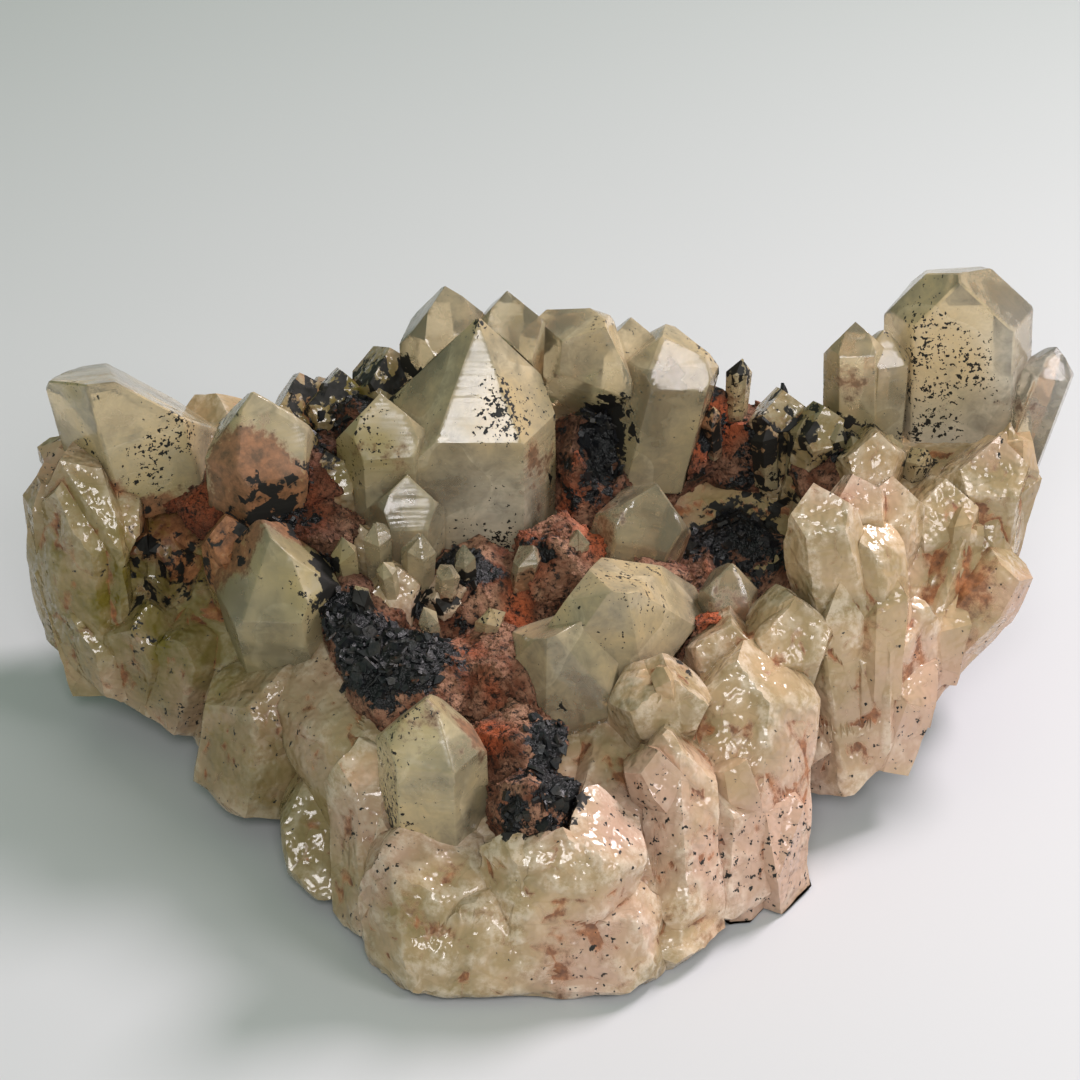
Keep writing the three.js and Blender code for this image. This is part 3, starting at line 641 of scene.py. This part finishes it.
# The root: broken slabs and chips lifted along the normal, with thin ledges on the low front, and
# less on the points that stand up. Its dirt lies in fine creases, with painted shade in broad hollows and
# round the columns.
def makeRoot(material, columns):
    relief = rootRelief
    points, faces = splitLongEdges(*solidMesh("quartz_root"), relief["edge"])
    normals = cornerNormals(points, faces)
    flowing = points * np.array([1.0, 1.0, 0.55])
    slabs, _ = brokenFacets(flowing, relief["slabs"], 5, tilt=0.5, dome=0.35)
    chips, chipCrease = brokenFacets(flowing, relief["chips"], 8, tilt=0.5, dome=0.35)
    lift = relief["slabHeight"] * (slabs + 0.1) + relief["chipHeight"] * (chips + 0.1)
    layered = points * np.array([0.45, 0.45, 1.2])
    ledges, _ = brokenFacets(layered, relief["ledges"], 15, tilt=0.6, dome=0.35)
    low = lowFront(points)
    lift = lift * (1 - 0.25 * low) + relief["ledgeHeight"] * (ledges + 0.1) * low
    lift += relief["grit"] * roughNoise(points, 1.6, 4)
    calm = np.clip((points[:, 2] - relief["calmAbove"]) / 12, 0, 1)
    lift *= (1 - 0.85 * calm) * np.clip(points[:, 2] / 1.5, 0, 1)
    points = points + normals * lift[:, None]
    points[:, 2] = np.maximum(points[:, 2], 0)
    around = cornerNormals(points, faces)
    out = standOut(points, faces, around, rounds=3)
    deep = standOut(points, faces, around, rounds=12)
    # dirt in fine creases and chip creases, painted shade in the broad hollows (deep) and round the columns
    dirtAndShade = np.clip(-out / 0.28, -1, 1) + np.clip(-deep / 1.3, -0.3, 0.8) + 0.5 * chipCrease * (1 - calm)
    dirtAndShade = np.clip(dirtAndShade + shadeOf(points, columns), -1, 1)
    piece = addPiece("root_quartz", points, faces, material, stainPaint(points), dirtAndShade, 32)
    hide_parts("quartz_root")


# How near each place is to the columns that lie on it: (1 - d / (1.7 width)) * 1.2 from an axis, added to
# the root as painted shade round the columns.
def shadeOf(points, columns):
    shade = np.zeros(len(points))
    for foot, way, length, width in zip(*columns):
        squared = np.sum((points - foot - way * length / 2) ** 2, axis=1)
        near = np.flatnonzero(squared < (length * 0.6 + 4) ** 2)
        rel = points[near] - foot
        along = np.clip(rel @ way, 0, length)
        distance = np.linalg.norm(rel - along[:, None] * way, axis=1)
        shade[near] = np.maximum(shade[near], np.clip(1 - distance / (1.7 * width), 0, 1) * 1.2)
    return shade


earthRelief = {"edge": 1.3, "lumps": 1.2, "grit": 0.7, "crumbs": 0.35}


# An earth bed: the frame's solid, swollen and pitted by rough noise at three sizes.
def makeEarth(name, material):
    relief = earthRelief
    points, faces = splitLongEdges(*solidMesh(name), relief["edge"])
    normals = cornerNormals(points, faces)
    lift = relief["lumps"] * roughNoise(points, 7.0, 21) + relief["grit"] * roughNoise(points, 2.4, 22)
    pebbles, _ = brokenFacets(points, 3.4, 23, tilt=0.5, dome=0.7)
    lift += 1.1 * (pebbles + 0.15) + relief["crumbs"] * roughNoise(points, 1.2, 24)
    points = points + normals * lift[:, None]
    piece = addPiece(name + "_bed", points, faces, material, stainPaint(points), creaseAngle=180)
    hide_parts(name)
    return points, faces


# Places spread at random over a mesh, as dense everywhere: a triangle is picked by its area, and
# a place in it by two folded random numbers. Gives the places and their triangles' normals.
def strewn(points, faces, count, numbers):
    a, b, c = (points[faces[:, k]] for k in range(3))
    cross = np.cross(b - a, c - a)
    area = np.linalg.norm(cross, axis=1)
    picked = numbers.choice(len(faces), count, p=area / area.sum())
    s, t = numbers.random((2, count, 1))
    folded = (s + t) > 1
    s, t = np.where(folded, 1 - s, s), np.where(folded, 1 - t, t)
    return a[picked] + s * (b - a)[picked] + t * (c - a)[picked], unit(cross[picked])


# Prisms: rings of six corners at the foot, the shoulder and the tip. A corner stands at
# foot + way * height + (side * cos a + across * sin a) * radius, with its own share of the radius.
# The tip ring is drawn in and pushed aside, and shoulders and tips have uneven heights.
def prismMesh(feet, ways, outs, lengths, widths, pointed, numbers):
    count = len(feet)
    side = unit(outs - np.sum(outs * ways, axis=1, keepdims=True) * ways)
    across = np.cross(ways, side)
    angle = np.radians(60 * (np.arange(6) + numbers.random((count, 1))))
    share = 1 + 0.22 * numbers.uniform(-1, 1, (count, 6))
    broad = numbers.uniform(0.9, 1.35, (count, 1))
    ringHeights = np.stack([
        np.zeros((count, 6)),
        lengths[:, None] - widths[:, None] * numbers.uniform(0.5, 1.7, (count, 6)),
        lengths[:, None] + widths[:, None] * 0.25 * numbers.uniform(-1, 1, (count, 6)),
    ], axis=1)
    tipShare = np.where(pointed, 0.12, numbers.uniform(0.3, 0.8, count))[:, None] * np.ones((1, 6))
    ringShares = np.stack([np.full((count, 6), 0.85), np.ones((count, 6)), tipShare], axis=1)
    radius = widths[:, None, None] * share[:, None, :] * ringShares
    push = widths[:, None] * numbers.uniform(-0.3, 0.3, (count, 2)) * (1 - tipShare[:, :1])
    x = radius * np.cos(angle)[:, None, :]
    y = radius * np.sin(angle)[:, None, :] * broad[:, None]
    x[:, 2] += push[:, :1]
    y[:, 2] += push[:, 1:]
    points = (feet[:, None, None] + ways[:, None, None] * ringHeights[..., None]
              + side[:, None, None] * x[..., None] + across[:, None, None] * y[..., None])
    # painted shade with the dirt that gathers there: highest on the side facing the surface under the
    # column, less at the tip
    innerShade = np.clip(0.45 - 0.75 * x / widths[:, None, None], -0.5, 1)
    innerShade[:, 2] -= 0.35
    template = []
    for ring in range(2):
        for k in range(6):
            low, high = ring * 6 + k, ring * 6 + (k + 1) % 6
            template += [(low, high, high + 6), (low, high + 6, low + 6)]
    template += [(0, k + 1, k) for k in range(1, 5)] + [(12, 12 + k, 13 + k) for k in range(1, 5)]
    faces = (np.array(template)[None] + 18 * np.arange(count)[:, None, None]).reshape(-1, 3)
    return points.reshape(-1, 3), faces, innerShade.reshape(-1)


flankColumns = {
    "tries": 5200, "seed": 12,
    "widths": (7.5, 4.6, 2.6), "shares": (0.12, 0.33, 0.55),  # mm, largest first
    "slimness": (2.6, 5.2),  # length over width
    "sunk": (0.55, 1.05),  # of the width
    "top": 52.0,  # mm, none start above this
    "leftShare": 0.35,  # of the places on the left flank
    "edge": 3.0, "chips": 4.0, "chipHeight": 0.8,  # mm
}


# Columns on the flanks: each runs up and away from under the root's middle, along the surface.
def placeColumns():
    look = flankColumns
    numbers = np.random.default_rng(look["seed"])
    rootPoints, rootFaces = solidMesh("quartz_root")
    places, normals = strewn(rootPoints, rootFaces, look["tries"], numbers)
    flat = unit(normals * np.array([1, 1, 0]))
    height = np.abs(rootPoints[None, :, 2] - places[:, 2, None]) < 9
    reach = np.where(height, flat @ rootPoints.T, -999).max(axis=1)
    outside = reach - np.sum(flat * places, axis=1) < 9
    good = outside & (normals[:, 2] < 0.6) & (normals[:, 2] > -0.75)
    good &= (places[:, 2] > 3) & (places[:, 2] < look["top"])
    good &= lowFront(places) < 0.3
    good &= (places[:, 0] > -30) | (numbers.random(len(places)) < look["leftShare"])
    places, normals = places[good], normals[good]
    size = np.searchsorted(np.cumsum(look["shares"]), numbers.random(len(places)))
    order = np.argsort(size, kind="stable")
    places, normals, size = places[order], normals[order], size[order]
    widths = np.array(look["widths"])[size] * numbers.uniform(0.75, 1.25, len(places))
    kept = []
    for k in range(len(places)):
        gap = np.linalg.norm(places[kept] - places[k], axis=1) if kept else np.array([99.0])
        room = (widths[kept] + widths[k]) * 0.62 if kept else 0
        if np.all(gap > room):
            kept.append(k)
    places, normals, widths = places[kept], normals[kept], widths[kept]
    count = len(kept)
    lengths = widths * numbers.uniform(*look["slimness"], count)
    fan = unit(places - np.array([2.0, 8.0, -35.0]))
    ways = 0.7 * fan + 0.6 * np.array([0, 0, 1.0]) + 0.30 * numbers.uniform(-1, 1, (count, 3))
    ways -= normals * np.sum(ways * normals, axis=1, keepdims=True) * 0.85
    ways = unit(ways)
    sunk = widths * numbers.uniform(*look["sunk"], count)
    feet = places - normals * sunk[:, None] - ways * lengths[:, None] * 0.55
    return feet, ways, normals, lengths, widths, numbers


# Each column's faces are cut finer and lifted by chips, its dirt and painted shade carried along as a
# fourth number.
def makeColumns(material):
    look = flankColumns
    feet, ways, normals, lengths, widths, numbers = placeColumns()
    pointed = numbers.random(len(feet)) < 0.4
    points, faces, dirtAndShade = prismMesh(feet, ways, normals, lengths, widths, pointed, numbers)
    joined, faces = splitLongEdges(np.column_stack([points, dirtAndShade]), faces, look["edge"])
    points, dirtAndShade = joined[:, :3], joined[:, 3]
    chips, crease = brokenFacets(points, look["chips"], 9, tilt=0.55, dome=0.35)
    points = points + cornerNormals(points, faces) * look["chipHeight"] * (chips + 0.1)[:, None]
    points[:, 2] = np.maximum(points[:, 2], 0.4)
    dirtAndShade = np.clip(dirtAndShade + 0.35 * crease, -1, 1)
    piece = addPiece("flank_columns", points, faces, material, stainPaint(points), dirtAndShade, 22)
    return feet, ways, lengths, widths


# Small points that stand up out of the beds: foot in millimetres, length, half width, and lean
# to the right and back in degrees.
bedPoints = [
    ((-38, 11, 42), 15, 2.5, -8, -6), ((-33, 14, 42), 16, 2.8, -3, -4), ((-30, 7, 40), 15, 2.2, -6, -10),
    ((-26, 11, 40), 17, 2.6, 2, -4), ((-21, 8, 39), 14, 2.4, 5, -8), ((-16, 12, 41), 13, 2.3, -4, -6),
    ((-22, -1, 38), 12, 2.2, -10, -12), ((-13, 1, 37), 11, 2.3, 8, -10), ((-6, 12, 42), 12, 2.4, 10, -5),
    ((-34, 2, 40), 12, 2.0, -14, -8), ((4, 16, 43), 12, 2.6, 6, -8),
    ((44, 47, 44), 15, 2.7, -4, -4), ((49, 46, 46), 16, 2.9, 3, -6), ((55, 45, 47), 14, 2.6, 8, -8),
    ((61, 44, 47), 13, 2.6, -6, -10), ((66, 43, 46), 14, 2.8, 5, -12), ((72, 42, 45), 12, 2.4, 9, -8),
    ((37, 54, 55), 14, 2.8, 2, 2), ((33, 49, 50), 12, 2.4, -6, -6),
]


def makeBedPoints(material):
    numbers = np.random.default_rng(19)
    feet = np.array([p[0] for p in bedPoints], float)
    lengths, widths, right, back = np.array([p[1:] for p in bedPoints], float).T
    ways = unit(np.stack([np.tan(np.radians(right)), np.tan(np.radians(back)), np.ones(len(feet))], axis=1))
    outs = np.tile([0.3, -1.0, 0.0], (len(feet), 1))
    points, faces, _ = prismMesh(feet, ways, outs, lengths, widths, np.full(len(feet), True), numbers)
    points, faces = splitLongEdges(points, faces, 1.2)
    paint = stainPaint(points)
    paint[:, 0] = np.clip(paint[:, 0] + 0.25, 0, 1)
    piece = addPiece("bed_points", points, faces, material, paint, creaseAngle=20)


crustFlakes = {"tries": 15000, "size": (0.35, 1.7), "thick": (0.1, 0.4), "seed": 31, "amount": 1.0}


# Flakes: irregular hexagonal plates, two rings of six corners, tilted off the surface's normal.
def makeFlakes(surfaces, material):
    look = crustFlakes
    numbers = np.random.default_rng(look["seed"])
    found = [strewn(*surface, look["tries"] // len(surfaces), numbers) for surface in surfaces]
    places = np.concatenate([f[0] for f in found])
    normals = np.concatenate([f[1] for f in found])
    paint = stainPaint(places)
    # flakes follow the crust paint, so in the hollow, where that paint is partly painted shade, they add
    # dark flakes to the shade
    good = paint[:, 1] * look["amount"] > numbers.uniform(0.35, 1.3, len(places))
    good &= normals[:, 2] > -0.2
    places, normals = places[good], normals[good]
    count = len(places)
    up = unit(normals + 0.85 * numbers.uniform(-1, 1, (count, 3)))
    side = unit(np.cross(up, numbers.uniform(-1, 1, (count, 3))))
    across = np.cross(up, side)
    radius = numbers.uniform(*look["size"], count)[:, None] * numbers.uniform(0.4, 1.3, (count, 6))
    angle = np.radians(60) * (np.arange(6) + numbers.uniform(-0.3, 0.3, (count, 6)))
    rim = side[:, None] * (radius * np.cos(angle))[..., None]
    rim += across[:, None] * (radius * np.sin(angle))[..., None]
    thick = up * numbers.uniform(*look["thick"], count)[:, None]
    rings = np.stack([rim - thick[:, None], rim * 0.93 + thick[:, None]], axis=1)
    points = (places[:, None, None] + 0.25 * up[:, None, None] + rings).reshape(-1, 3)
    template = []
    for k in range(6):
        n = (k + 1) % 6
        template += [(k, n, n + 6), (k, n + 6, k + 6)]
    template += [(0, k + 1, k) for k in range(1, 5)] + [(6, 6 + k, 7 + k) for k in range(1, 5)]
    faces = (np.array(template)[None] + 12 * np.arange(count)[:, None, None]).reshape(-1, 3)
    piece = addPiece("crust_flakes", points, faces, material, creaseAngle=0)


crustLook = {"blue": (0.010, 0.011, 0.014), "grey": (0.030, 0.026, 0.022), "rust": (0.16, 0.055, 0.025)}


# Crust flakes' own material: black with a dull blue-grey shine, rusty here and there.
def blackCrust(name):
    look = crustLook
    made, tree, shader, _ = newMaterial(name)
    place = addNode(tree, "TexCoord").outputs["Object"]
    patches = noiseOutput(tree, place, 260.0, 4.0, 0.65)
    fine = noiseOutput(tree, place, 1400.0, 2.0, 0.7)
    colour = mixedColour(tree, stretched(tree, patches, 0.45, 0.62), look["blue"], look["grey"])
    colour = mixedColour(tree, stretched(tree, patches, 0.64, 0.70), colour, look["rust"])
    tree.links.new(colour, shader.inputs["Base Color"])
    tree.links.new(stretched(tree, fine, 0.3, 0.7, 0.28, 0.6), shader.inputs["Roughness"])
    bump = addNode(tree, "Bump", None, {"Height": fine, "Strength": 0.5, "Distance": 0.0003})
    tree.links.new(bump.outputs[0], shader.inputs["Normal"])
    return made


earthGrains = {"tries": 9000, "size": (0.25, 0.85), "seed": 57}


# Grains: octahedra with corners at uneven distances, half sunk in the earth and strewn round it.
def makeGrains(surfaces, material):
    look = earthGrains
    numbers = np.random.default_rng(look["seed"])
    found = [strewn(*surface, look["tries"] // len(surfaces), numbers) for surface in surfaces]
    places = np.concatenate([f[0] for f in found])
    normals = np.concatenate([f[1] for f in found])
    good = (normals[:, 2] > -0.3) & (numbers.random(len(places)) < 0.75)
    places, normals = places[good], normals[good]
    count = len(places)
    corners = np.array([(1, 0, 0), (0, 1, 0), (-1, 0, 0), (0, -1, 0), (0, 0, 1), (0, 0, -1.0)])
    turned = np.linalg.qr(numbers.normal(size=(count, 3, 3)))[0]
    turned[np.linalg.det(turned) < 0, 0] *= -1
    radius = numbers.uniform(*look["size"], (count, 1)) * numbers.uniform(0.6, 1.2, (count, 6))
    points = places[:, None] + (corners * radius[..., None]) @ turned
    template = [(0, 1, 4), (1, 2, 4), (2, 3, 4), (3, 0, 4)]
    template += [(1, 0, 5), (2, 1, 5), (3, 2, 5), (0, 3, 5)]
    faces = (np.array(template)[None] + 6 * np.arange(count)[:, None, None]).reshape(-1, 3)
    points = points.reshape(-1, 3)
    piece = addPiece("earth_grains", points, faces, material, stainPaint(points), creaseAngle=0)


crystals = {name: makeCrystal(name, finish) for name, finish in crystalFinish.items()}
rootMaterial = massiveQuartz("massive_quartz")
columns = makeColumns(rootMaterial)
makeRoot(rootMaterial, columns)
earthMaterial = ironEarth("iron_earth")
earthBeds = [makeEarth(name, earthMaterial) for name in ("left_earth", "front_earth", "right_earth")]
makeGrains(earthBeds, earthMaterial)
makeBedPoints(clearQuartz("bed_points_quartz", haze=0.6, striation=0.5))
makeFlakes(earthBeds + [solidMesh("quartz_root")], blackCrust("black_crust"))

# Table: a wide pale sheet just under the seat, its colour darker towards the back as painted light falloff.
floorLook = {"size": 6.0, "near": (0.70, 0.70, 0.72), "far": (0.47, 0.50, 0.49)}


def makeFloor():
    half = floorLook["size"] / 2
    corners = np.array([[-half, -half], [half, -half], [half, half], [-half, half]])
    mesh = bpy.data.meshes.new("table_top")
    mesh.from_pydata([(x, y, -0.0002) for x, y in corners], [], [(0, 1, 2, 3)])
    floor = bpy.data.objects.new("table_top", mesh)
    bpy.context.scene.collection.objects.link(floor)
    made, tree, shader, _ = newMaterial("pale_table")
    place = addNode(tree, "TexCoord").outputs["Object"]
    depth = addNode(tree, "SeparateXYZ", None, {"Vector": place}).outputs["Y"]
    paintedFalloff = blended(tree, depth, 1.0, noiseOutput(tree, place, 3.0, 3.0), 0.05)
    paintedFalloff = stretched(tree, paintedFalloff, 0.05, 0.40)
    colour = mixedColour(tree, paintedFalloff, floorLook["near"], floorLook["far"])
    tree.links.new(colour, shader.inputs["Base Color"])
    shader.inputs["Roughness"].default_value = 0.6
    mesh.materials.append(made)


# Lamps: where each stands in metres, how wide it is, its power and colour. All face the cluster.
lamps = {
    "key_lamp": {"at": (0.44, 0.39, 0.60), "size": 0.28, "power": 6.0, "colour": (1.0, 0.90, 0.95)},
    "glare_lamp": {"at": (-0.02, -0.98, 0.90), "size": 0.44, "power": 5.2, "colour": (1.0, 0.96, 0.97)},
    "right_lamp": {"at": (0.9, -0.55, 0.75), "size": 0.45, "power": 4.2, "colour": (1.0, 0.93, 0.95)},
}
roomLook = {"colour": (0.70, 1.0, 0.74), "strength": 0.24}


def makeLamp(name, lamp):
    light = bpy.data.lights.new(name, "AREA")
    light.shape = "DISK"
    light.size = lamp["size"]
    light.energy = lamp["power"]
    light.color = lamp["colour"]
    made = bpy.data.objects.new(name, light)
    made.location = lamp["at"]
    made.rotation_euler = (Vector(lamp["at"]) - Vector((0, 0.01, 0.04))).to_track_quat("Z", "Y").to_euler()
    made.visible_camera = False
    bpy.context.scene.collection.objects.link(made)


def makeRoom():
    world = bpy.data.worlds.new("room")
    world.use_nodes = True
    background = world.node_tree.nodes["Background"]
    background.inputs["Color"].default_value = (*roomLook["colour"], 1.0)
    background.inputs["Strength"].default_value = roomLook["strength"]
    bpy.context.scene.world = world


# Camera: looks along +Y and down, at a point just over the middle of the cluster.
cameraLook = {"lookDown": 35.0, "distance": 0.8, "lens": 138.7, "aim": (-0.0021, 0.0099, 0.0562)}


def makeCamera():
    data = bpy.data.cameras.new("camera")
    data.lens = cameraLook["lens"]
    data.sensor_width = 36.0
    data.clip_start = 0.01
    camera = bpy.data.objects.new("camera", data)
    down = math.radians(cameraLook["lookDown"])
    back = Vector((0, -math.cos(down), math.sin(down)))
    camera.location = Vector(cameraLook["aim"]) + back * cameraLook["distance"]
    camera.rotation_euler = (math.pi / 2 - down, 0, 0)
    bpy.context.scene.collection.objects.link(camera)
    bpy.context.scene.camera = camera


makeFloor()
for name, lamp in lamps.items():
    makeLamp(name, lamp)
makeRoom()
makeCamera()
bpy.context.scene.view_settings.view_transform = "Standard"
# Light paths: enough for quartz seen through quartz, few enough to render in minutes.
paths = {"max_bounces": 4, "diffuse_bounces": 1, "glossy_bounces": 1, "transmission_bounces": 4,
         "use_light_tree": False, "caustics_reflective": False}
for name, value in paths.items():
    setattr(bpy.context.scene.cycles, name, value)
